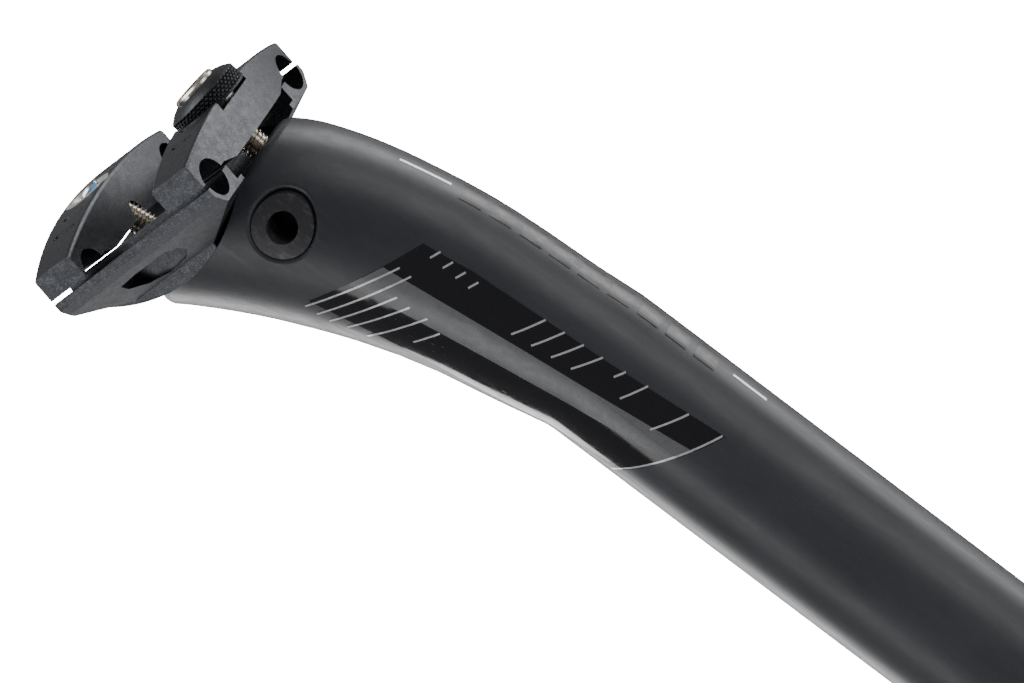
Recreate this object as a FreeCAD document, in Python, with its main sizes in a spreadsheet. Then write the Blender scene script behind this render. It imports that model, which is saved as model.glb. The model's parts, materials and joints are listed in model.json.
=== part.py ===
import FreeCAD, Part
import math
import os
import re
from FreeCAD import Placement, Rotation, Vector

# Set-back bicycle seatpost with a two-bolt rail clamp.
# Frame: origin at the centre of the tube's lower end, +Z up the tube, +X forward, +Y to the rider's left.
# The clamp pieces are drawn in a clamp frame: X along the rails (forward), Y across, Z square to the
# rail plane, origin on the cradle's lips right under the seat's axis. TO_PART carries it to the part's own.

os.makedirs("parts", exist_ok=True)
doc = FreeCAD.newDocument("seatpost")
sheet = doc.addObject("Spreadsheet::Sheet", "sizes")

SIZES = {
    # post
    "tube_radius": 13.6,
    "bore_radius": 11.6,
    "bore_length": 288.0,
    "straight_length": 273.0,
    "clamp_height": 350.0,
    "setback": 23.8,
    "clamp_tilt": 13.4,
    "head_top": 342.2,
    "seat_radius": 25.66,
    "seat_rise": 14.0,
    # rails
    "rail_radius": 3.5,
    "rail_offset": 22.0,
    "rail_rise": 0.6,
    # cradle
    "cradle_radius": 25.6,
    "cradle_rear": -16.3,
    "cradle_front": 20.6,
    "cradle_side": 26.3,
    "cradle_foot": 16.5,
    "lip_height": 0.2,
    # yokes
    "yoke_front": 16.07,
    "yoke_rear": -12.1,
    "yoke_side": 26.3,
    "yoke_ends": 5.4,
    "yoke_crown": 8.5,
    # front bolt and its barrel nut
    "barrel_x": -7.6,
    "barrel_z": 331.55,
    "barrel_radius": 5.0,
    "barrel_bore": 5.05,
    "barrel_half": 10.8,
    "plug_radius": 5.3,
    "plug_hole": 2.7,
    "front_lean": 6.1,
    "swivel_height": 22.6,
    "swivel_radius": 4.5,
    "collar_height": 21.05,
    "collar_radius": 7.25,
    # both bolts
    "shank_radius": 2.5,
    "head_radius": 4.25,
    # rear bolt
    "rear_x": -33.6,
    "rear_z": 361.05,
    "rear_lean": -8.0,
    "roof_radius": 30.2,
}

for row, (alias, value) in enumerate(SIZES.items(), start=1):
    sheet.set(f"A{row}", alias)
    sheet.set(f"B{row}", str(value))
    sheet.setAlias(f"B{row}", alias)
doc.recompute()


def size(alias):
    return float(sheet.get(alias))


def bind(item, **values):
    """Sets properties: a number directly, a text as an expression on the sheet's aliases."""
    for prop, value in values.items():
        if isinstance(value, str):
            text = re.sub(r"[a-z_]+", lambda m: f"sizes.{m.group(0)}" if m.group(0) in SIZES else m.group(0), value)
            item.setExpression(prop, text)
        else:
            setattr(item, prop, value)
    return item


def cylinder(name, radius, height, place=None):
    item = bind(doc.addObject("Part::Cylinder", name), Radius=radius, Height=height)
    if place is not None:
        item.Placement = place
    return item


def ball(name, radius, centre):
    item = bind(doc.addObject("Part::Sphere", name), Radius=radius)
    item.Placement = Placement(centre, Rotation())
    return item


def block(name, low, high, turn=None):
    """A box between two corners, in the frame that turn gives."""
    item = doc.addObject("Part::Box", name)
    bind(item, Length=high[0] - low[0], Width=high[1] - low[1], Height=high[2] - low[2])
    item.Placement = Placement(Vector(*low), Rotation())
    if turn is not None:
        item.Placement = turn.multiply(item.Placement)
    return item


def fuse(name, *items):
    item = doc.addObject("Part::MultiFuse", name)
    item.Shapes = list(items)
    item.Refine = True
    return item


def common(name, *items):
    item = doc.addObject("Part::MultiCommon", name)
    item.Shapes = list(items)
    return item


def cut(name, base, *tools):
    item = doc.addObject("Part::Cut", name)
    item.Base = base
    item.Tool = tools[0] if len(tools) == 1 else fuse(name + "_tools", *tools)
    return item


def along(point, axis):
    """The placement that puts local Z along axis, starting at point."""
    return Placement(point, Rotation(Vector(0, 0, 1), axis))


def rounded(name, base, radius, chosen):
    """Rounds the edges of base that chosen(edge) picks."""
    doc.recompute()
    picked = [(n, radius, radius) for n, edge in enumerate(base.Shape.Edges, start=1) if chosen(edge)]
    if not picked:
        raise SystemExit(f"{name}: no edge was picked")
    item = doc.addObject("Part::Fillet", name)
    item.Base = base
    item.Edges = picked
    return item


def polygon(name, points):
    item = doc.addObject("Part::Polygon", name)
    item.Nodes = [Vector(*p) for p in points]
    item.Close = True
    return item


def extrude(name, outline, direction, length, both=False):
    """A prism; with both, half of its length lies on each side of the outline."""
    item = doc.addObject("Part::Extrusion", name)
    item.Base = outline
    item.DirMode = "Custom"
    item.Dir = direction
    item.LengthFwd = length
    item.Symmetric = both
    item.Solid = True
    return item


def turned(name, points, place):
    """A solid of revolution about local Z, from (radius, height) corners."""
    item = doc.addObject("Part::Revolution", name)
    item.Source = polygon(f"{name}_profile", [(r, 0, z) for r, z in points])
    item.Axis = Vector(0, 0, 1)
    item.Angle = 360
    item.Solid = True
    item.Placement = place
    return item


def hexagon(name, flats, low, high):
    outline = doc.addObject("Part::RegularPolygon", f"{name}_outline")
    outline.Polygon = 6
    outline.Circumradius = flats / math.sqrt(3)
    outline.Placement = Placement(Vector(0, 0, low), Rotation())
    return extrude(name, outline, Vector(0, 0, 1), high - low)


def leaning(degrees):
    return Vector(math.sin(math.radians(degrees)), 0, math.cos(math.radians(degrees)))


# Directions and points that several pieces share.
ACROSS = Vector(0, 1, 0)
ALONG = Vector(1, 0, 0)
CLAMP = Vector(-size("setback"), 0, size("clamp_height"))
TO_PART = Placement(CLAMP, Rotation(ACROSS, size("clamp_tilt")))
TO_CLAMP = TO_PART.inverse()
SEAT_AXIS = TO_PART.multVec(Vector(0, 0, size("seat_rise")))
BARREL = Vector(size("barrel_x"), 0, size("barrel_z"))
FRONT_UP = leaning(size("front_lean"))
FRONT_BOLT = along(BARREL, FRONT_UP)
REAR_TOP = Vector(size("rear_x"), 0, size("rear_z"))
REAR_UP = leaning(size("rear_lean"))
REAR_BOLT = along(REAR_TOP, REAR_UP)
SWING = (-5.0, 3.5)

subparts = {}


def keep(item, node, place=None):
    """Names a finished sub-part and, for one drawn in another frame, puts it in the part's frame."""
    item.Label = node
    if place is not None:
        item.Placement = place
    subparts[node] = item


def lateral(name, radius, half, centre):
    """A cylinder across the post, centred on the mid-plane."""
    place = Placement(centre - ACROSS * half, Rotation(Vector(0, 0, 1), ACROSS))
    return cylinder(name, radius, 2 * half, place)


# The head grows out of the tube as a run of level ellipses: height above the tube's end, set-back of the
# centre, half length fore and aft, half width.
HEAD_SECTIONS = [
    (273.0, 0.0, 13.6, 13.6),
    (276.0, 0.12, 13.66, 13.61),
    (281.85, 1.1, 14.15, 13.7),
    (295.85, 3.1, 15.4, 14.0),
    (308.85, 5.95, 16.9, 14.6),
    (316.25, 8.3, 17.8, 15.1),
    (322.65, 10.6, 18.6, 15.7),
    (329.85, 13.8, 19.55, 16.2),
    (336.35, 17.3, 20.4, 16.4),
    (341.0, 20.6, 20.8, 16.3),
    (347.0, 25.0, 21.2, 16.2),
]


def outer_head():
    """The head's outside, as a solid that runs on above the flat top. Its seam lies on the left side."""
    rings = []
    for n, (height, back, long_half, side_half) in enumerate(HEAD_SECTIONS):
        ring = doc.addObject("Part::Feature", f"head_ring_{n}")
        ellipse = Part.Ellipse(Vector(-back, 0, height), long_half + n * 1e-6, side_half)
        ring.Shape = Part.Wire(Part.ArcOfEllipse(ellipse, math.pi / 2, 5 * math.pi / 2).toShape())
        rings.append(ring)
    loft = doc.addObject("Part::Loft", "head_loft")
    loft.Sections = rings
    loft.Solid = True
    return loft


def hollow_tools():
    """The tube's bore with its rounded end."""
    bore = cylinder("post_bore", "bore_radius", "bore_length")
    end = ball("post_bore_end", "bore_radius", Vector(0, 0, size("bore_length")))
    return [bore, end]


def front_tools():
    """The cross bore for the barrel nut, its wider mouths and the slot that the front bolt swings in."""
    bore = lateral("cross_bore", "barrel_bore", 40.0, BARREL)
    slot = block("front_slot", (-3.3, -3.0, 0), (3.3, 3.0, 30), FRONT_BOLT)
    below = cylinder("front_slot_end", 3.2, 11.5, along(BARREL, -FRONT_UP))
    tools = [bore, slot, below]
    for n, sign in enumerate((-1, 1)):
        start = BARREL + ACROSS * (sign * (size("barrel_half") + 0.2))
        tools.append(cylinder(f"plug_seat_{n}", "plug_radius + 0.01", 20.0, along(start, ACROSS * sign)))
    return tools


def swing_wedge(name, half, width, top, bottom):
    """What a bar on the rear bolt's axis sweeps while the cradle swings on its seat."""
    middle = (SWING[0] + SWING[1]) / 2
    spread = math.tan(math.radians((SWING[1] - SWING[0]) / 2))
    turn = Placement(Vector(), Rotation(ACROSS, middle), SEAT_AXIS)
    high, low = half + spread * top, half + spread * bottom
    corners = [(-high, 0, -top), (high, 0, -top), (low, 0, -bottom), (-low, 0, -bottom)]
    wedge = extrude(name, polygon(f"{name}_side", corners), ACROSS, 2 * width, True)
    wedge.Placement = turn.multiply(REAR_BOLT)
    return wedge


def rear_tools():
    """The slot for the rear bolt and the pocket below it, whose roof the curved washer slides on."""
    slot = swing_wedge("rear_slot", size("shank_radius") + 0.35, 2.9, 12.0, 34.0)
    mouth = swing_wedge("rear_mouth", 4.65, 4.7, 22.0, 50.0)
    roof = lateral("rear_roof", "roof_radius", 40.0, SEAT_AXIS)
    return [slot, cut("rear_pocket", mouth, roof)]


def make_post(loft):
    tube = cylinder("post_tube", "tube_radius", "straight_length")
    solid = fuse("post_solid", tube, loft)
    top = size("head_top")
    above = block("head_top_cut", (-80, -40, top), (40, 40, top + 40))
    seat = lateral("seat_cut", "seat_radius", 40.0, SEAT_AXIS)
    shaped = cut("post_shaped", cut("post_flat", solid, above), seat)
    smooth = rounded("post_rim", shaped, 3.2, head_rim)
    bored = cut("post_bored", smooth, *front_tools())
    hollow = rounded("post_mouths", bored, 0.9, plug_mouth)
    for n, tool in enumerate(hollow_tools() + rear_tools()):
        hollow = cut(f"post_hollow_{n}", hollow, tool)
    keep(hollow, "post")


def head_rim(edge):
    """True for the edges where the head's flat top meets its outside."""
    middle = edge.valueAt((edge.FirstParameter + edge.LastParameter) / 2)
    reach = math.hypot(middle.x - SEAT_AXIS.x, middle.z - SEAT_AXIS.z)
    return edge.BoundBox.ZMin > size("head_top") - 0.01 and reach > size("seat_radius") + 0.2


def plug_mouth(edge):
    """True for the two edges where the plugs' seats meet the head's sides."""
    box = edge.BoundBox
    wide = min(box.XLength, box.ZLength) > 2 * size("plug_radius") - 0.4
    near = math.hypot(box.Center.x - BARREL.x, box.Center.z - BARREL.z) < 0.6
    return wide and near and abs(box.Center.y) > size("barrel_half") + 1.5


def make_plugs(loft):
    """Ring plugs that close the cross bore, trimmed flush with the head's sides."""
    for side, sign in (("right", -1), ("left", 1)):
        outward = along(BARREL + ACROSS * (sign * (size("barrel_half") + 0.3)), ACROSS * sign)
        disc = cylinder(f"plug_disc_{side}", "plug_radius", 20.0, outward)
        hole = cylinder(f"plug_hole_{side}", "plug_hole", 20.0, outward)
        ring = cut(f"plug_ring_{side}", disc, hole)
        keep(common(f"plug_{side}", ring, loft), f"barrel_plug_{side}")


def make_barrel_nut():
    body = lateral("barrel_body", "barrel_radius", size("barrel_half"), BARREL)
    thread = cylinder("barrel_thread", "shank_radius + 0.5", 20.0, along(BARREL - FRONT_UP * 10, FRONT_UP))
    drills = []
    for n, sign in enumerate((-1, 1)):
        start = BARREL + ACROSS * (sign * (size("barrel_half") - 3.5))
        drills.append(cylinder(f"barrel_drill_{n}", "plug_hole", 4.0, along(start, ACROSS * sign)))
    keep(cut("barrel_nut_body", body, thread, *drills), "barrel_nut")


def make_cradle():
    """Drawn in the clamp frame: sloping sides under the two rail channels, and a round foot between them."""
    back, front = size("cradle_rear"), size("cradle_front")
    side, foot, lip = size("cradle_side"), size("cradle_foot"), size("lip_height")
    right = [(-side, lip), (-side, -1.3), (1.6 - side, -2.9), (-foot - 0.6, -8.9), (-foot - 0.6, -12)]
    ring = right + [(-y, z) for y, z in reversed(right)]
    section = polygon("cradle_section", [(back, y, z) for y, z in ring])
    trunk = extrude("cradle_trunk", section, ALONG, front - back)
    flank = polygon("cradle_flank", [
        (back, 0, lip), (front, 0, lip), (front, 0, -3.7), (9.5, 0, -8.9), (-8.5, 0, -9.5), (back, 0, -3.7),
    ])
    wings = common("cradle_wings", trunk, extrude("cradle_flanks", flank, ACROSS, 60.0, True))
    disc = lateral("cradle_disc", "cradle_radius", foot, Vector(0, 0, size("seat_rise")))
    base = common("cradle_base", disc, block("cradle_foot_blank", (back + 0.6, -foot, -13), (9.0, foot, -2)))
    tools = [
        block("cradle_tray", (-30, -16.4, -2.8), (30, 16.4, 3)),
        block("cradle_notch", (13.4, -14.4, -20), (30, 14.4, 5)),
        cylinder("cradle_bolt_hole", 2.8, 60.0, TO_CLAMP.multiply(along(REAR_TOP - REAR_UP * 50, REAR_UP))),
    ]
    for n, sign in enumerate((-1, 1)):
        axis = Vector(-30, sign * size("rail_offset"), size("rail_rise"))
        tools.append(cylinder(f"cradle_rail_{n}", "rail_radius", 60.0, along(axis, ALONG)))
        tools.append(side_pocket(n, sign))
    keep(cut("cradle_body", fuse("cradle_solid", wings, base), *tools), "cradle", TO_PART)


def side_pocket(n, sign):
    """The D-shaped relief in the cradle's sloping side."""
    outline = polygon(f"cradle_relief_{n}", [
        (-6.5, 0, -4.6), (-2.5, 0, -4.3), (4.5, 0, -4.3), (6.3, 0, -5.2), (6.5, 0, -6.6), (4.5, 0, -7.9),
        (0.0, 0, -8.4), (-4.0, 0, -7.6), (-6.6, 0, -6.0),
    ])
    relief = extrude(f"cradle_pocket_{n}", outline, ACROSS * sign, 12.0)
    relief.Placement = Placement(Vector(0, sign * 16.9, 0), Rotation())
    return relief


def yoke_blank(name, centre, outward):
    """A clamp bar: arched top, rail grooves and four dimples. Its bowed face looks along outward."""
    side, ends, crown = size("yoke_side"), size("yoke_ends"), size("yoke_crown")
    plan = doc.addObject("Part::Feature", f"{name}_plan")
    corners = [Vector(centre + outward * x, y, -2) for x, y in ((-4.15, -side), (4.15, -side), (4.15, side), (-4.15, side))]
    inner = Part.Arc(corners[0], Vector(centre - outward * 5.0, 0, -2), corners[3]).toShape()
    bowed = Part.Arc(corners[1], Vector(centre + outward * 5.8, 0, -2), corners[2]).toShape()
    tips = [Part.makeLine(corners[0], corners[1]), Part.makeLine(corners[2], corners[3])]
    plan.Shape = Part.Wire([inner, tips[1], bowed, tips[0]])
    prism = extrude(f"{name}_prism", plan, Vector(0, 0, 1), 12)
    arch = doc.addObject("Part::Feature", f"{name}_arch")
    low = [(-side - 1, 1.0), (-17, 1.0), (-13, -0.2), (13, -0.2), (17, 1.0), (side + 1, 1.0)]
    under = [Vector(centre - 10, y, z) for y, z in low]
    left, right = Vector(centre - 10, side + 1, ends), Vector(centre - 10, -side - 1, ends)
    top = Part.Arc(left, Vector(centre - 10, 0, crown), right).toShape()
    lines = [Part.makeLine(a, b) for a, b in zip(under, under[1:])]
    lines += [Part.makeLine(under[-1], left), top, Part.makeLine(right, under[0])]
    arch.Shape = Part.Face(Part.Wire(lines)).extrude(Vector(20, 0, 0))
    blank = common(f"{name}_blank", prism, arch)
    smooth = rounded(f"{name}_smooth", blank, 0.7, lambda edge: long_top_edge(edge, ends))
    tools = []
    for n, sign in enumerate((-1, 1)):
        axis = Vector(centre - 20, sign * size("rail_offset"), size("rail_rise"))
        tools.append(cylinder(f"{name}_rail_{n}", "rail_radius", 40.0, along(axis, ALONG)))
        for m, (across, rise) in enumerate(((9.4, 8.25), (15.4, 7.55))):
            start = Vector(centre - 1.6, sign * across, rise)
            tools.append(ball(f"{name}_dimple_{n}{m}a", 0.75, start))
            tools.append(cylinder(f"{name}_dimple_{n}{m}b", 0.75, 3.6, along(start, ALONG)))
            tools.append(ball(f"{name}_dimple_{n}{m}c", 0.75, start + ALONG * 3.6))
    return cut(f"{name}_grooved", smooth, *tools)


def long_top_edge(edge, ends):
    """True for the edges of a yoke's arched top that run across the post."""
    return edge.BoundBox.ZMin > ends - 0.5 and edge.BoundBox.YLength > 3


def make_front_yoke():
    blank = yoke_blank("front_yoke", size("yoke_front"), 1)
    bolt = TO_CLAMP.multiply(FRONT_BOLT)
    cup = ball("front_cup", "swivel_radius + 0.05", bolt.multVec(Vector(0, 0, size("swivel_height"))))
    relief = cylinder("front_scallop", 8.0, 9.0, bolt.multiply(Placement(Vector(0, 0, 20.15), Rotation())))
    slot = polygon("front_yoke_slot_side", [
        (-3.98, 0, 12), (-3.05, 0, 20.4), (2.87, 0, 20.4), (3.5, 0, 12),
    ])
    opening = extrude("front_yoke_slot", slot, ACROSS, 5.8, True)
    opening.Placement = bolt
    keep(cut("front_yoke_body", blank, cup, relief, opening), "front_yoke", TO_PART)


def make_rear_yoke():
    blank = yoke_blank("rear_yoke", size("yoke_rear"), -1)
    bolt = TO_CLAMP.multiply(REAR_BOLT)
    hole = cylinder("rear_yoke_thread", "shank_radius + 0.05", 40.0, bolt.multiply(Placement(Vector(0, 0, -20), Rotation())))
    sink = bind(doc.addObject("Part::Cone", "rear_yoke_sink"), Radius1=2.5, Radius2=5.5, Height=3.0)
    sink.Placement = along(TO_CLAMP.multVec(REAR_TOP) - Vector(0, 0, 0.9), Vector(0, 0, 1))
    keep(cut("rear_yoke_body", blank, hole, sink), "rear_yoke", TO_PART)


def make_front_washer():
    """The ball-faced washer between the knurled collar and the front yoke."""
    low, high = size("swivel_height") - 5, size("collar_height") - 0.02
    zone = ball("washer_ball", "swivel_radius", Vector(0, 0, size("swivel_height")))
    slab = cylinder("washer_slab", 4.4, high - low, Placement(Vector(0, 0, low), Rotation()))
    hole = cylinder("washer_hole", "shank_radius + 0.05", 40.0)
    keep(cut("front_washer_body", common("washer_zone", zone, slab), hole), "front_washer", FRONT_BOLT)


def make_front_bolt():
    """Socket-head screw; its head stands in the knurled collar."""
    shank, head, under = size("shank_radius"), size("head_radius"), size("collar_height") + 1.2
    top = 26.35
    screw = turned("front_screw", [
        (0, -8.0), (shank - 0.5, -8.0), (shank, -7.4), (shank, under), (head, under),
        (head, top - 0.35), (head - 0.35, top), (0, top),
    ], Placement())
    socket = hexagon("front_socket", 4.0, top - 2.6, top + 1)
    keep(cut("front_bolt_body", screw, socket), "front_bolt", FRONT_BOLT)


def make_collar():
    """The finger-turned ring round the front bolt's head: a band for the knurl under a low dome."""
    shank, head, rim, base = (size(k) for k in ("shank_radius", "head_radius", "collar_radius", "collar_height"))
    ring = turned("collar_ring", [
        (shank + 0.01, base), (rim - 0.4, base), (rim, base + 0.4), (rim, base + 3.0), (rim - 0.35, base + 3.3),
        (rim - 1.4, base + 4.1), (head + 0.3, base + 4.6), (head + 0.01, base + 4.6),
        (head + 0.01, base + 1.19), (shank + 0.01, base + 1.19),
    ], FRONT_BOLT)
    keep(ring, "front_collar")


def make_rear_bolt():
    """Socket-head screw from below; its tip stands in the rear yoke's thread, with a locking patch."""
    shank, head = size("shank_radius"), size("head_radius")
    base = washer_base()
    screw = turned("rear_screw", [
        (0, base - 4.0), (head - 0.35, base - 4.0), (head, base - 3.65), (head, base), (shank, base),
        (shank, -0.4), (shank - 0.5, 0.3), (0, 0.3),
    ], Placement())
    socket = hexagon("rear_socket", 4.0, base - 6, base - 1.8)
    keep(cut("rear_bolt_body", screw, socket, patch_shell("patch_seat", 0.0)), "rear_bolt", REAR_BOLT)
    keep(patch_shell("patch_shell", 0.01), "thread_patch", REAR_BOLT)


def patch_shell(name, gap):
    """A thin shell on one side of the thread, just under its tip."""
    shank = size("shank_radius")
    outer = cylinder(f"{name}_outer", shank - 0.01 if gap else shank + 0.2, 5.0 - 2 * gap)
    outer.Placement = Placement(Vector(0, 0, gap - 5.3), Rotation())
    outer.Angle = 170 - 2 * gap * 20
    outer.Placement = outer.Placement.multiply(Placement(Vector(), Rotation(Vector(0, 0, 1), 185 + gap * 20)))
    inner = cylinder(f"{name}_inner", shank - 0.4 + gap, 10.0, Placement(Vector(0, 0, -8), Rotation()))
    return cut(name, outer, inner)


def washer_base():
    """Height of the curved washer's flat underside on the rear bolt's axis."""
    off = REAR_TOP - SEAT_AXIS
    down = off.dot(REAR_UP)
    reach = size("roof_radius")
    roof = -down - math.sqrt(reach ** 2 - (off - REAR_UP * down).Length ** 2)
    return roof - 2.6


def make_rear_washer():
    """Curved washer under the rear bolt's pocket roof: hollow side up."""
    base = washer_base()
    stub = cylinder("rear_washer_stub", "head_radius", 12.0, Placement(Vector(0, 0, base + 0.01), Rotation()))
    centre = REAR_BOLT.inverse().multVec(SEAT_AXIS)
    above = lateral("rear_washer_roof", "roof_radius + 0.05", 20.0, centre)
    hole = cylinder("rear_washer_hole", "shank_radius + 0.05", 20.0, Placement(Vector(0, 0, base - 1), Rotation()))
    keep(cut("rear_washer_body", stub, above, hole), "rear_washer", REAR_BOLT)


def check_and_write():
    doc.recompute()
    for item in doc.Objects:
        if "Invalid" in item.State or "Error" in item.State:
            raise SystemExit(f"{item.Name} failed: {item.State}")
    for node, item in subparts.items():
        shape = item.Shape
        if shape.isNull() or not shape.isValid() or shape.Volume <= 0:
            raise SystemExit(f"{node}: its shape is null, invalid or empty")
        if len(shape.Solids) != 1:
            raise SystemExit(f"{node}: {len(shape.Solids)} solids where one is meant")
        shape.exportStep(f"parts/{node}.step")
        print(f"{node}: {shape.Volume:.1f} mm3")


head_loft = outer_head()
make_post(head_loft)
make_plugs(head_loft)
make_barrel_nut()
make_cradle()
make_front_yoke()
make_rear_yoke()
make_front_washer()
make_front_bolt()
make_collar()
make_rear_bolt()
make_rear_washer()
check_and_write()
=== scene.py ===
# %% [markdown]
# A set-back bicycle seatpost: one moulded carbon post with a black two-screw saddle clamp on its head.
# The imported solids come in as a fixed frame. They already have the right shapes and places, so this
# script gives them finishes and adds what a solid model leaves out: threads, knurling and surface marks.

import json
import math

import bmesh
import bpy
from mathutils import Matrix, Vector


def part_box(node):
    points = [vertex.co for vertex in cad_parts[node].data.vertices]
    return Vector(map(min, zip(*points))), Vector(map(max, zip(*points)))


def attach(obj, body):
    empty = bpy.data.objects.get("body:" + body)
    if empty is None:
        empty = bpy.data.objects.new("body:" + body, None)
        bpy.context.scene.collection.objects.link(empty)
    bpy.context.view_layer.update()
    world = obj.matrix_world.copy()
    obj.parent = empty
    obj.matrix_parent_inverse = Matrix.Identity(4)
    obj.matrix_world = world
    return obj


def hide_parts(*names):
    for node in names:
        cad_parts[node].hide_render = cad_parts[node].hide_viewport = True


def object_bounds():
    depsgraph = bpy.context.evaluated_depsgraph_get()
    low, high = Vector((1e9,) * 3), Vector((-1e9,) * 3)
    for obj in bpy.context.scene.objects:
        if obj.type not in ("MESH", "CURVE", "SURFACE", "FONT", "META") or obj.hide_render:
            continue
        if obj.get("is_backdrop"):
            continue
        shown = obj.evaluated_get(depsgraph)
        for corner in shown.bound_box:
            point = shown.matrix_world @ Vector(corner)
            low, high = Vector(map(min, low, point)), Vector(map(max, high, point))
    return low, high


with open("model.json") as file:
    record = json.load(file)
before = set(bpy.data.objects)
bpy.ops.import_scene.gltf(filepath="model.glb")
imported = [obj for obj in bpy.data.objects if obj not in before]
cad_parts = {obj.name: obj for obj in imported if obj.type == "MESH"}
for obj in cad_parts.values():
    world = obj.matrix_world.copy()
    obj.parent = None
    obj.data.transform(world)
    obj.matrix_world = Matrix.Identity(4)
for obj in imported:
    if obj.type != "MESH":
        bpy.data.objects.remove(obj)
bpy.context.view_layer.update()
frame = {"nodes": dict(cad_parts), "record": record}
nodes = frame["nodes"]
MM = 0.001

# %% [markdown]
# The pieces meet at a few points and directions: the two screws' axes and the clamp's tilted frame. The
# record keeps the joints, and each joint has its axis and often a point on it, so they are read from there.

# %% Screw axes
joints = {joint["name"]: joint for joint in frame["record"]["behaviour"]["joints"]}


def axis_frame(point, direction):
    """A matrix whose Z runs along direction from point, with Y kept across the post."""
    up = Vector(direction).normalized()
    across = Vector((0, 1, 0))
    forward = across.cross(up).normalized()
    turn = Matrix((forward, across, up)).transposed().to_4x4()
    return Matrix.Translation(Vector(point)) @ turn


front_axis = axis_frame(joints["front_bolt_turn"]["pos_m"], joints["front_bolt_turn"]["axis"])
rear_up = [-value for value in joints["rear_bolt_turn"]["axis"]]
rear_axis = axis_frame(joints["rear_bolt_turn"]["pos_m"], rear_up)
post_low, post_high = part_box("post")
tube_radius = post_high[0]
print("tube radius", round(tube_radius, 5))

# %% [markdown]
# Small helpers keep the cells short. Everything is deselected before an operator runs, because an
# operator acts on all that is selected, and the frame's own solids come in selected.


# %% Helpers for pieces
def only(piece):
    bpy.ops.object.select_all(action="DESELECT")
    piece.select_set(True)
    bpy.context.view_layer.objects.active = piece


def apply_modifiers(piece):
    only(piece)
    for modifier in list(piece.modifiers):
        bpy.ops.object.modifier_apply(modifier=modifier.name)


def finish_piece(piece, body, material, smooth_angle=35):
    """Puts a finished piece at the origin, shades it, and lets it move with its body."""
    only(piece)
    bpy.ops.object.transform_apply(location=True, rotation=True, scale=True)
    bpy.ops.object.shade_smooth_by_angle(angle=math.radians(smooth_angle))
    piece.data.materials.clear()
    piece.data.materials.append(material)
    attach(piece, body)
    print(piece.name, len(piece.data.polygons), "faces")
    return piece


def outward(piece):
    """Merges doubles and turns every face outwards."""
    only(piece)
    bpy.ops.object.mode_set(mode="EDIT")
    bpy.ops.mesh.select_all(action="SELECT")
    bpy.ops.mesh.remove_doubles(threshold=1e-6)
    bpy.ops.mesh.normals_make_consistent(inside=False)
    bpy.ops.object.mode_set(mode="OBJECT")


# %% [markdown]
# A finish is a small node graph: the shader's plain numbers sit on its sockets, and noise patterns
# read from Object coordinates vary its colour, its roughness and a fine bump. Nothing real is even all
# over: a lacquer has a faint ripple, and blasted metal a grain that sparkles.


# %% Helpers for finishes
class Finish:
    """One material: a Principled shader and short ways to add patterns to it."""

    def __init__(self, name, color, roughness, metallic=0.0, coat=0.0):
        self.material = bpy.data.materials.new(name)
        self.material.use_nodes = True
        self.tree = self.material.node_tree
        self.shader = self.tree.nodes["Principled BSDF"]
        self.shader.inputs["Base Color"].default_value = (*color, 1)
        self.shader.inputs["Roughness"].default_value = roughness
        self.shader.inputs["Metallic"].default_value = metallic
        self.shader.inputs["Coat Weight"].default_value = coat
        self.shader.inputs["Coat Roughness"].default_value = 0.12
        self.place = self.node("ShaderNodeTexCoord").outputs["Object"]
        self.color = color

    def node(self, kind, **settings):
        node = self.tree.nodes.new(kind)
        for key, value in settings.items():
            setattr(node, key, value)
        return node

    def link(self, output, socket):
        self.tree.links.new(output, socket)

    def noise(self, scale, detail=3.0, stretch=(1, 1, 1)):
        mapping = self.node("ShaderNodeMapping")
        mapping.inputs["Scale"].default_value = stretch
        self.link(self.place, mapping.inputs["Vector"])
        texture = self.node("ShaderNodeTexNoise")
        texture.inputs["Scale"].default_value = scale
        texture.inputs["Detail"].default_value = detail
        self.link(mapping.outputs["Vector"], texture.inputs["Vector"])
        return texture.outputs["Fac"]

    def span(self, value, low, high, to_low, to_high):
        """value between low and high becomes a value between to_low and to_high."""
        node = self.node("ShaderNodeMapRange")
        for socket, number in zip(("From Min", "From Max", "To Min", "To Max"), (low, high, to_low, to_high)):
            node.inputs[socket].default_value = number
        self.link(value, node.inputs["Value"])
        return node.outputs["Result"]

    def blend(self, amount, first, second):
        """A colour between two, by amount. Each is an output or a plain colour."""
        node = self.node("ShaderNodeMix", data_type="RGBA")
        self.link(amount, node.inputs["Factor"])
        for socket, value in ((node.inputs[6], first), (node.inputs[7], second)):
            if isinstance(value, tuple):
                socket.default_value = (*value, 1)
            else:
                self.link(value, socket)
        return node.outputs[2]

    def bump(self, height, depth, strength=1.0):
        node = self.node("ShaderNodeBump")
        node.inputs["Strength"].default_value = strength
        node.inputs["Distance"].default_value = depth
        self.link(height, node.inputs["Height"])
        self.link(node.outputs["Normal"], self.shader.inputs["Normal"])

    def set_color(self, output):
        self.link(output, self.shader.inputs["Base Color"])

    def set_roughness(self, output):
        self.link(output, self.shader.inputs["Roughness"])


# %% [markdown]
# The post is carbon fibre under a satin lacquer: a blue-black that is almost even, with a soft cloud in
# its gloss and an orange-peel ripple too fine to see as dents.


# %% Satin lacquer on the post
def satin_lacquer():
    finish = Finish("satin_lacquer", (0.022, 0.024, 0.029), 0.4)
    cloud = finish.noise(60, 4)
    tint = finish.span(cloud, 0.35, 0.65, 0.0, 1.0)
    finish.set_color(finish.blend(tint, (0.020, 0.022, 0.027), (0.026, 0.028, 0.034)))
    scuff = finish.noise(900, 5, (1, 1, 0.15))
    finish.set_roughness(finish.span(scuff, 0.3, 0.7, 0.36, 0.46))
    finish.bump(finish.noise(2600, 2), 0.00001, 0.35)
    return finish.material
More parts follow.
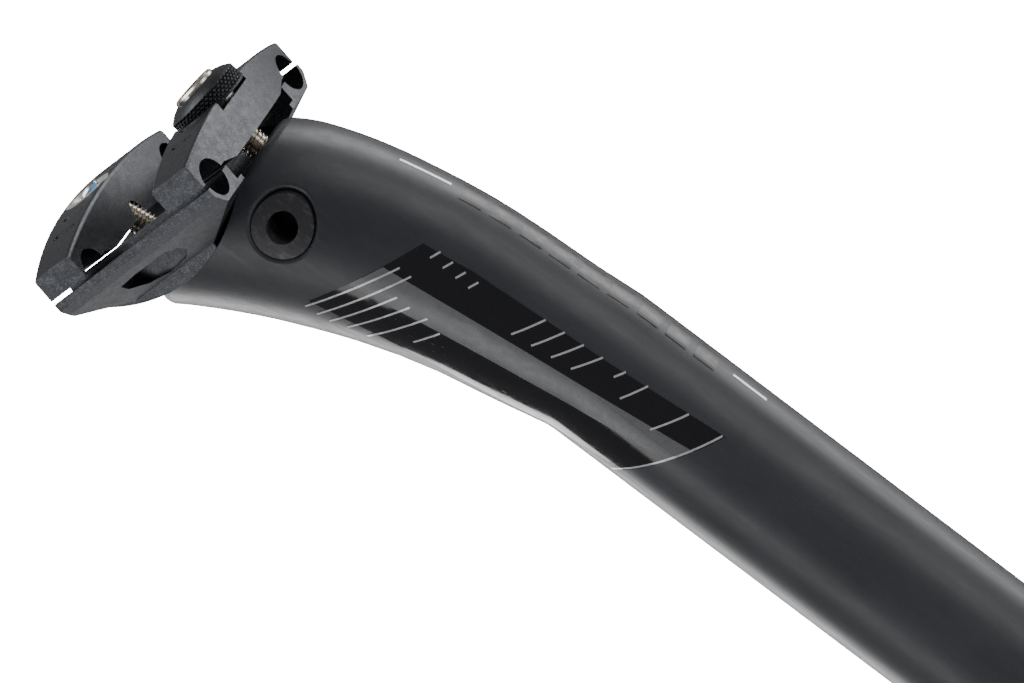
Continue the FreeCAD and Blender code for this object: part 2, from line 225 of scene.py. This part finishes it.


# %% [markdown]
# The clamp pieces are bead-blasted aluminium, anodised black. The grain of the blasting makes tiny facets
# that glint, so the bump is coarser than the lacquer's, and the glints are also painted into the colour as lighter
# speckles.


# %% Blasted black aluminium
def blasted_black(name, color=(0.036, 0.038, 0.043), bare=None):
    """Black anodising on blasted aluminium; bare = (frame, radius) leaves bright metal near that axis."""
    finish = Finish(name, color, 0.36, 0.75)
    grain = finish.noise(4200, 2)
    # painted highlight: lighter speckles in the colour stand in for glints off the blasted facets
    painted_glint_mask = finish.span(grain, 0.5, 0.75, 0.0, 1.0)
    glint_color = tuple(2.6 * value for value in color)
    tint = finish.blend(painted_glint_mask, color, glint_color)
    rough = finish.span(finish.noise(700, 4), 0.3, 0.7, 0.3, 0.44)
    finish.set_roughness(rough)
    if bare is not None:
        place, radius = bare
        mapping = finish.node("ShaderNodeMapping", vector_type="TEXTURE")
        mapping.inputs["Location"].default_value = place.to_translation()
        mapping.inputs["Rotation"].default_value = place.to_euler()
        finish.link(finish.place, mapping.inputs["Vector"])
        flat = finish.node("ShaderNodeVectorMath", operation="MULTIPLY")
        flat.inputs[1].default_value = (1, 1, 0)
        finish.link(mapping.outputs["Vector"], flat.inputs[0])
        length = finish.node("ShaderNodeVectorMath", operation="LENGTH")
        finish.link(flat.outputs["Vector"], length.inputs[0])
        near = finish.span(length.outputs["Value"], radius, radius + 0.0001, 1.0, 0.0)
        tint = finish.blend(near, tint, (0.62, 0.6, 0.56))
    finish.set_color(tint)
    finish.bump(grain, 0.00003, 0.5)
    return finish.material


# %% [markdown]
# The screws are bright, slightly warm steel. Turning leaves fine rings and handling leaves small
# scratches, so the noise is stretched one way.


# %% Bright steel
def bright_steel(name, color=(0.66, 0.61, 0.54), roughness=0.24):
    finish = Finish(name, color, roughness, 1.0)
    streak = finish.noise(2500, 4, (1, 1, 0.2))
    darker = tuple(0.72 * value for value in color)
    finish.set_color(finish.blend(finish.span(streak, 0.35, 0.65, 0.0, 1.0), darker, color))
    finish.set_roughness(finish.span(finish.noise(1500, 3), 0.3, 0.7, roughness - 0.06, roughness + 0.12))
    finish.bump(streak, 0.000008, 0.4)
    return finish.material


# %% [markdown]
# The ring plugs in the head's sides are moulded plastic with short chopped fibres in it, which leave
# glossy flecks. The locking patch near the rear screw's tip is blue nylon.


# %% Moulded plastics
def moulded(name, color, roughness, flecks):
    finish = Finish(name, color, roughness)
    fleck = finish.noise(1400, 5, (1, 1, 0.4))
    brighter = tuple(min(1.0, flecks * value) for value in color)
    finish.set_color(finish.blend(finish.span(fleck, 0.5, 0.7, 0.0, 1.0), color, brighter))
    finish.set_roughness(finish.span(fleck, 0.3, 0.7, roughness + 0.12, roughness - 0.1))
    finish.bump(fleck, 0.00006, 0.6)
    return finish.material


lacquer = satin_lacquer()
clamp_black = blasted_black("clamp_black")
collar_black = blasted_black("collar_black", (0.03, 0.031, 0.034))
steel = bright_steel("screw_steel")
turned_steel = bright_steel("turned_steel", (0.6, 0.58, 0.55), 0.3)
nut_steel = bright_steel("nut_steel", (0.12, 0.12, 0.125), 0.4)
plug_plastic = moulded("plug_plastic", (0.022, 0.022, 0.025), 0.38, 2.6)
patch_nylon = moulded("patch_nylon", (0.08, 0.33, 0.68), 0.3, 1.4)

# %% [markdown]
# The rear clamp bar has a thread cut through it after anodising, and its countersink is bare metal.
# The same black finish is used with a round bare spot on the hole's axis.

# %% Finishes on the solids
CLAMP_TILT = math.radians(13.4)
hole_place = Matrix.Translation(Vector(joints["rear_bolt_turn"]["pos_m"]))
hole_place = hole_place @ Matrix.Rotation(CLAMP_TILT, 4, "Y")
rear_black = blasted_black("rear_bar_black", bare=(hole_place, 0.0047))
SOLID_FINISHES = {
    "post": lacquer,
    "barrel_plug_right": plug_plastic,
    "barrel_plug_left": plug_plastic,
    "barrel_nut": nut_steel,
    "cradle": clamp_black,
    "front_yoke": clamp_black,
    "rear_yoke": rear_black,
    "front_washer": turned_steel,
    "rear_washer": turned_steel,
    "thread_patch": patch_nylon,
}
for name, material in SOLID_FINISHES.items():
    nodes[name].data.materials.clear()
    nodes[name].data.materials.append(material)
    print(name, "gets", material.name)

# %% [markdown]
# A screw thread and a knurl are both patterns on a turned surface. One helper spins an outline round an
# axis and asks a pattern how far to push each point out. A modifier could make a thread, but it leaves
# open ends, and the knurl needs two crossing sets of grooves, so the rings are placed by formula.


# %% A turned piece with a pattern
def turned_piece(name, outline, sides, place, pattern=None, ring=False):
    """Spins outline, a list of (radius, height), about Z; ring joins its last point to its first."""
    mesh = bmesh.new()
    rows = []
    for radius, height in outline:
        row = []
        for step in range(sides):
            angle = 2 * math.pi * step / sides
            reach = radius if pattern is None else radius + pattern(radius, height, angle)
            row.append(mesh.verts.new((reach * math.cos(angle), reach * math.sin(angle), height)))
        rows.append(row)
    pairs = list(zip(rows, rows[1:]))
    if ring:
        pairs.append((rows[-1], rows[0]))
    for lower, upper in pairs:
        for step in range(sides):
            after = (step + 1) % sides
            mesh.faces.new((lower[step], lower[after], upper[after], upper[step]))
    if not ring:
        mesh.faces.new(rows[0])
        mesh.faces.new(rows[-1])
    mesh.transform(place)
    data = bpy.data.meshes.new(name)
    mesh.to_mesh(data)
    mesh.free()
    piece = bpy.data.objects.new(name, data)
    bpy.context.collection.objects.link(piece)
    outward(piece)
    return piece


def triangle_wave(value):
    """0 at whole numbers, 1 half way between them."""
    return 1 - abs(2 * (value - math.floor(value)) - 1)


# %% [markdown]
# Each screw is one turned outline: a threaded shank with a relieved start, and a head with a hexagon
# socket. The socket is cut with a Boolean, and its cutter is a six-sided cylinder.

# %% Screws
PITCH = 0.8 * MM
SHANK = 2.5 * MM
HEAD = 4.25 * MM
SOCKET_FLATS = 4.0 * MM


def thread_pattern(low, high):
    """A right-hand thread between two heights, fading out at both ends."""

    def push(radius, height, angle):
        if abs(radius - SHANK) > 0.01 * MM or not low < height < high:
            return 0.0
        fade = min(1.0, (height - low) / PITCH, (high - height) / PITCH)
        return -0.46 * MM * fade * triangle_wave(height / PITCH - angle / (2 * math.pi))

    return push


def screw_piece(name, place, tip, under, top, body, replaced):
    """A socket screw along local Z. Its head lies between under and top, and its thread ends at tip."""
    toward = 1 if top > under else -1
    low, high = sorted((tip + toward * 0.5 * MM, under - toward * 0.2 * MM))
    steps = math.ceil((high - low) / (PITCH / 8))
    shank = [(SHANK, low + (high - low) * n / steps) for n in range(steps + 1)]
    if toward < 0:
        shank.reverse()
    edge = 0.35 * MM
    outline = [(0.2 * MM, tip), (SHANK - 0.5 * MM, tip)] + shank + [(SHANK, under), (HEAD, under)]
    outline += [(HEAD, top - toward * edge), (HEAD - edge, top), (0.2 * MM, top)]
    piece = turned_piece(name, outline, 56, place, thread_pattern(low, high))
    bpy.ops.mesh.primitive_cylinder_add(vertices=6, radius=SOCKET_FLATS / math.sqrt(3), depth=4.4 * MM)
    cutter = bpy.context.active_object
    cutter.matrix_world = place @ Matrix.Translation((0, 0, top))
    cut = piece.modifiers.new("socket", "BOOLEAN")
    cut.object = cutter
    cut.solver = "EXACT"
    apply_modifiers(piece)
    bpy.data.objects.remove(cutter)
    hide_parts(replaced)
    return finish_piece(piece, body, steel)


front_top = max((front_axis.inverted() @ v.co).z for v in nodes["front_bolt"].data.vertices)
front_tip = min((front_axis.inverted() @ v.co).z for v in nodes["front_bolt"].data.vertices)
collar_base = min((front_axis.inverted() @ v.co).z for v in nodes["front_collar"].data.vertices)
front_screw = screw_piece("front_screw", front_axis, front_tip, collar_base + 1.2 * MM, front_top,
                          "front_bolt", "front_bolt")
rear_top = max((rear_axis.inverted() @ v.co).z for v in nodes["rear_bolt"].data.vertices)
rear_low = min((rear_axis.inverted() @ v.co).z for v in nodes["rear_bolt"].data.vertices)
rear_screw = screw_piece("rear_screw", rear_axis, rear_top, rear_low + 4.0 * MM, rear_low,
                         "rear_bolt", "rear_bolt")

# %% [markdown]
# The collar round the front screw's head is turned by hand, so its band has a diamond knurl: two sets
# of grooves that cross. Above the band it has a low dome. It is a ring, so its outline closes on itself.

# %% Knurled collar
COLLAR = 7.25 * MM
KNURL_COUNT = 44
KNURL_DEPTH = 0.42 * MM


def knurl_pattern(low, high):
    """Two crossing sets of grooves on the band between two heights."""

    def push(radius, height, angle):
        if radius < COLLAR - 0.01 * MM or not low < height < high:
            return 0.0
        fade = min(1.0, (height - low) / (0.25 * MM), (high - height) / (0.25 * MM))
        turn = angle / (2 * math.pi) * KNURL_COUNT
        lead = (height - low) / (2 * math.pi * COLLAR / KNURL_COUNT)
        grooves = min(triangle_wave(turn + lead), triangle_wave(turn - lead))
        return -KNURL_DEPTH * fade * (1 - min(1.0, 2.2 * grooves))

    return push


def knurled_collar():
    base = collar_base
    low, high = base + 0.35 * MM, base + 3.05 * MM
    band = [(COLLAR, low + (high - low) * n / 20) for n in range(21)]
    outline = [(SHANK + 0.06 * MM, base), (COLLAR - 0.4 * MM, base)] + band
    outline += [(COLLAR - 0.4 * MM, base + 3.4 * MM), (COLLAR - 1.4 * MM, base + 4.05 * MM)]
    outline += [(HEAD + 0.5 * MM, base + 4.5 * MM), (HEAD + 0.05 * MM, base + 4.35 * MM)]
    outline += [(HEAD + 0.05 * MM, base + 1.15 * MM), (SHANK + 0.06 * MM, base + 1.15 * MM)]
    sides = KNURL_COUNT * 8
    piece = turned_piece("knurled_collar", outline, sides, front_axis, knurl_pattern(low, high), ring=True)
    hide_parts("front_collar")
    return finish_piece(piece, "front_bolt", collar_black)


collar = knurled_collar()

# %% [markdown]
# The marks on the post's sides are thin prints: a dark glossy panel with a grey band and rows of fine
# silver lines. Each one is cut flat, from a finely divided sheet, and then laid on the post by a
# Shrinkwrap that projects it across. Both sides get the same marks. Lettering is left out.

# %% Print finishes
gloss_print = Finish("gloss_print", (0.006, 0.006, 0.008), 0.12)
gloss_print.set_roughness(gloss_print.span(gloss_print.noise(500, 3), 0.3, 0.7, 0.09, 0.17))
gloss_print.bump(gloss_print.noise(1800, 2), 0.000004, 0.3)
grey_print = Finish("grey_print", (0.1, 0.102, 0.108), 0.3)
grey_print.set_roughness(grey_print.span(grey_print.noise(800, 3), 0.3, 0.7, 0.25, 0.36))
grey_print.bump(grey_print.noise(2200, 2), 0.000004, 0.3)
silver_print = Finish("silver_print", (0.5, 0.5, 0.51), 0.3, 0.5)
silver_print.set_roughness(silver_print.span(silver_print.noise(1500, 3), 0.3, 0.7, 0.24, 0.4))
silver_print.bump(silver_print.noise(2600, 2), 0.000004, 0.3)


raised_lacquer = Finish("raised_lacquer", (0.010, 0.011, 0.014), 0.34)
raised_lacquer.set_roughness(raised_lacquer.span(raised_lacquer.noise(900, 3), 0.3, 0.7, 0.3, 0.4))
raised_lacquer.bump(raised_lacquer.noise(2400, 2), 0.000004, 0.3)


# %% Laying a flat print on the post
def cut_to_outline(piece, corners):
    """Cuts a sheet in the XZ plane to a convex outline of (x, z), given in order round it."""
    only(piece)
    bpy.ops.object.mode_set(mode="EDIT")
    middle = sum((Vector((x, 0, z)) for x, z in corners), Vector()) / len(corners)
    for (x1, z1), (x2, z2) in zip(corners, corners[1:] + corners[:1]):
        side = Vector((z2 - z1, 0, x1 - x2))
        if side.dot(middle - Vector((x1, 0, z1))) > 0:
            side = -side
        bpy.ops.mesh.select_all(action="SELECT")
        normal = side.normalized()
        bpy.ops.mesh.bisect(plane_co=(x1, 0, z1), plane_no=normal, clear_outer=True, threshold=1e-6)
    bpy.ops.object.mode_set(mode="OBJECT")


def lay_on_post(piece, axis, side, lift):
    """Projects a flat piece along an axis onto the post and lifts it off the surface by lift."""
    wrap = piece.modifiers.new("wrap", "SHRINKWRAP")
    wrap.target = nodes["post"]
    wrap.wrap_method = "PROJECT"
    setattr(wrap, f"use_project_{axis}", True)
    wrap.use_negative_direction = side > 0
    wrap.use_positive_direction = side < 0
    wrap.offset = lift
    apply_modifiers(piece)


def flat_sheet(name, low, high, side, spacing):
    """A finely divided sheet in the XZ plane, standing beside the post."""
    width, height = high[0] - low[0], high[1] - low[1]
    middle = ((low[0] + high[0]) / 2, side * 30 * MM, (low[1] + high[1]) / 2)
    bpy.ops.object.select_all(action="DESELECT")
    bpy.ops.mesh.primitive_grid_add(x_subdivisions=max(1, round(width / spacing)),
                                    y_subdivisions=max(1, round(height / spacing)), size=1)
    piece = bpy.context.active_object
    piece.name = name
    piece.matrix_world = Matrix.Translation(middle) @ Matrix.Rotation(math.pi / 2, 4, "X") @ Matrix.Diagonal(
        (width, height, 1, 1))
    bpy.ops.object.transform_apply(location=True, rotation=True, scale=True)
    return piece


def side_print(name, corners, side, lift, finish):
    xs, zs = [x for x, _ in corners], [z for _, z in corners]
    piece = flat_sheet(name, (min(xs), min(zs)), (max(xs), max(zs)), side, 0.7 * MM)
    cut_to_outline(piece, corners)
    lay_on_post(piece, "y", side, lift)
    face_out(piece, side)
    return finish_piece(piece, "post", finish.material)


def face_out(piece, side):
    """Turns an open sheet's faces away from the post, whichever way it was made."""
    only(piece)
    total = sum(face.normal.y * face.area for face in piece.data.polygons)
    if total * side < 0:
        bpy.ops.object.mode_set(mode="EDIT")
        bpy.ops.mesh.select_all(action="SELECT")
        bpy.ops.mesh.flip_normals()
        bpy.ops.object.mode_set(mode="OBJECT")


# %% Panel and band
def scaled(points):
    return [(x * MM, z * MM) for x, z in points]


PANEL = scaled([
    (-18.4, 321.6), (4.2, 311.4), (5.6, 302.0), (8.9, 251.6),
    (-9.4, 262.6), (-12.0, 285.0), (-15.4, 305.0),
])
BAND = scaled([(-8.6, 317.1), (-2.4, 314.3), (4.4, 254.4), (0.4, 256.8)])
for side, hand in ((-1, "right"), (1, "left")):
    side_print(f"panel_{hand}", PANEL, side, 0.03 * MM, gloss_print)
    side_print(f"band_{hand}", BAND, side, 0.05 * MM, grey_print)

# %% [markdown]
# The silver lines are narrow strips. A row of short ones runs down the panel's upper edge like the
# teeth of a comb, longer ones lie in its rear corner, and one outlines its lower end.

# %% Silver lines
LINE = 0.34 * MM
LONG_LINES = [
    ((-17.6, 320.4), (-0.8, 312.0)), ((-17.9, 318.0), (-0.8, 309.6)), ((-18.0, 315.6), (-5.2, 309.3)),
    ((-17.0, 312.6), (-5.4, 306.6)), ((-16.4, 309.0), (-5.2, 303.1)), ((-11.2, 302.4), (-6.2, 299.9)),
]
SHORT_LINES = [((3.3, 309.0 - 2.7 * n), (4.9, 308.2 - 2.7 * n)) for n in range(4)]
MIDDLE_LINES = [((1.6 + 0.5 * n, 290.5 - 3.8 * n), (6.6 + 0.3 * n, 287.4 - 3.8 * n)) for n in range(4)]
LOWER_LINES = [((6.2, 272.6), (7.8, 271.5)), ((4.1, 269.6), (8.1, 267.1)), ((3.0, 262.4), (8.4, 258.8))]
RIM_LINES = [((-9.3, 262.9), (8.8, 252.1))]


def strip_corners(start, end, width):
    a, b = Vector(start) * MM, Vector(end) * MM
    across = Vector((-(b - a).y, (b - a).x)).normalized() * (width / 2)
    return [tuple(a + across), tuple(b + across), tuple(b - across), tuple(a - across)]


def silver_lines(name, lines, side):
    """All the strips of one side as one printed piece."""
    strips = []
    for n, (start, end) in enumerate(lines):
        corners = strip_corners(start, end, LINE)
        xs, zs = [x for x, _ in corners], [z for _, z in corners]
        strip = flat_sheet(f"{name}_{n}", (min(xs), min(zs)), (max(xs), max(zs)), side, 0.5 * MM)
        cut_to_outline(strip, corners)
        strips.append(strip)
    only(strips[0])
    for strip in strips[1:]:
        strip.select_set(True)
    bpy.ops.object.join()
    piece = bpy.context.active_object
    piece.name = name
    lay_on_post(piece, "y", side, 0.07 * MM)
    face_out(piece, side)
    return finish_piece(piece, "post", silver_print.material)


for side, hand in ((-1, "right"), (1, "left")):
    lines = LONG_LINES + SHORT_LINES + MIDDLE_LINES + LOWER_LINES + RIM_LINES
    silver_lines(f"silver_lines_{hand}", lines, side)

# %% [markdown]
# Down the front of the post runs a row of low glossy blocks between two silver dashes. They stand for
# clear raised lacquer, so they have the print's gloss and a real thickness.


# %% Front marks
def front_sheet(name, low, high, half, finish, lift, thick=0.0):
    """A sheet laid on the post's front between two heights, half wide each way."""
    piece = flat_sheet(name, (-half, low), (half, high), -1, 0.6 * MM)
    only(piece)
    piece.matrix_world = Matrix.Translation((0.05, 0, 0)) @ Matrix.Rotation(math.pi / 2, 4, "Z") @ Matrix.Translation(
        (0, 30 * MM, 0))
    bpy.ops.object.transform_apply(location=True, rotation=True, scale=True)
    lay_on_post(piece, "x", 1, lift)
    if thick:
        only(piece)
        total = sum(face.normal.x * face.area for face in piece.data.polygons)
        if total < 0:
            bpy.ops.object.mode_set(mode="EDIT")
            bpy.ops.mesh.select_all(action="SELECT")
            bpy.ops.mesh.flip_normals()
            bpy.ops.object.mode_set(mode="OBJECT")
        solid = piece.modifiers.new("thickness", "SOLIDIFY")
        solid.thickness = thick
        solid.offset = 1
        apply_modifiers(piece)
    return finish_piece(piece, "post", finish.material)


for n, (low, high) in enumerate(((313.2, 322.6), (249.2, 256.2))):
    front_sheet(f"front_dash_{n}", low * MM, high * MM, 0.35 * MM, silver_print, 0.03 * MM, 0.03 * MM)
BLOCK_LENGTH = 4.3
for n in range(9):
    low = 259.5 + 5.9 * n
    high = low + BLOCK_LENGTH
    front_sheet(f"front_block_{n}", low * MM, high * MM, 2.6 * MM, raised_lacquer, 0.02 * MM, 0.05 * MM)

# %% [markdown]
# The camera looks at the clamp from the front right, nearly level and rolled so that the post falls
# away to the lower right. A long lens keeps the far side of the clamp almost as large as the near side.

# %% Camera
TOWARD = Vector((0.492, -0.866, 0.064)).normalized()
SCREEN_RIGHT = Vector((0.549, 0.253, -0.797))
SCREEN_RIGHT = (SCREEN_RIGHT - TOWARD * SCREEN_RIGHT.dot(TOWARD)).normalized()
SCREEN_UP = TOWARD.cross(SCREEN_RIGHT)
AIM = Vector((-0.0070, 0, 0.28865))
VIEW_WIDTH = 0.173
camera_data = bpy.data.cameras.new("camera")
camera_data.sensor_width = 36
camera_data.lens = 250
camera_data.clip_end = 20
camera = bpy.data.objects.new("camera", camera_data)
bpy.context.collection.objects.link(camera)
distance = VIEW_WIDTH * camera_data.lens / camera_data.sensor_width
turn = Matrix((SCREEN_RIGHT, SCREEN_UP, TOWARD)).transposed().to_4x4()
camera.matrix_world = Matrix.Translation(AIM + TOWARD * distance) @ turn
bpy.context.scene.camera = camera

# %% [markdown]
# A dark satin tube shows its shape by what it reflects. Two tall soft boxes stand either side of the
# camera for the two broad bands, two narrow ones behind it draw the bright edges, and a large one
# overhead lights the clamp's upward faces.


# %% Lights and floor
def soft_box(name, direction, reach, width, height, power):
    data = bpy.data.lights.new(name, "AREA")
    data.shape = "RECTANGLE"
    data.size = width
    data.size_y = height
    data.energy = power
    lamp = bpy.data.objects.new(name, data)
    bpy.context.collection.objects.link(lamp)
    toward = Vector(direction).normalized()
    turn = toward.to_track_quat("Z", "Y").to_matrix().to_4x4()
    lamp.matrix_world = Matrix.Translation(AIM + toward * reach) @ turn
    return lamp


soft_box("front_box", (1.0, -0.05, 0.1), 0.9, 0.4, 1.0, 3.2)
soft_box("rear_box", (-0.5, -0.86, 0.1), 0.9, 0.3, 1.0, 2.8)
soft_box("top_box", (-0.25, -0.15, 1.0), 0.9, 0.6, 0.6, 6)
soft_box("edge_box_far", (0.6, 0.85, 0.2), 1.0, 0.4, 1.2, 9)
soft_box("edge_box_rear", (-1.0, 0.35, 0.0), 1.0, 0.4, 1.2, 9)

world = bpy.data.worlds.new("studio")
world.use_nodes = True
bpy.context.scene.world = world
background = world.node_tree.nodes["Background"]
background.inputs["Color"].default_value = (1, 1, 1, 1)
background.inputs["Strength"].default_value = 0.22
backdrop = world.node_tree.nodes.new("ShaderNodeBackground")
backdrop.inputs["Strength"].default_value = 25.0
seen = world.node_tree.nodes.new("ShaderNodeLightPath")
choose = world.node_tree.nodes.new("ShaderNodeMixShader")
world.node_tree.links.new(seen.outputs["Is Camera Ray"], choose.inputs["Fac"])
world.node_tree.links.new(background.outputs[0], choose.inputs[1])
world.node_tree.links.new(backdrop.outputs[0], choose.inputs[2])
world.node_tree.links.new(choose.outputs[0], world.node_tree.nodes["World Output"].inputs["Surface"])

bpy.ops.object.select_all(action="DESELECT")
bpy.ops.mesh.primitive_plane_add(size=1.6, location=(0, 0, -0.0005))
floor = bpy.context.active_object
floor.name = "floor"
floor_finish = Finish("floor_white", (0.9, 0.9, 0.9), 0.7)
floor_finish.set_roughness(floor_finish.span(floor_finish.noise(30, 2), 0.3, 0.7, 0.65, 0.8))
floor.data.materials.append(floor_finish.material)
floor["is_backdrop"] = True

# %% Sizes and finish
low, high = (list(corner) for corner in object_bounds())
print("visual box", low, high)
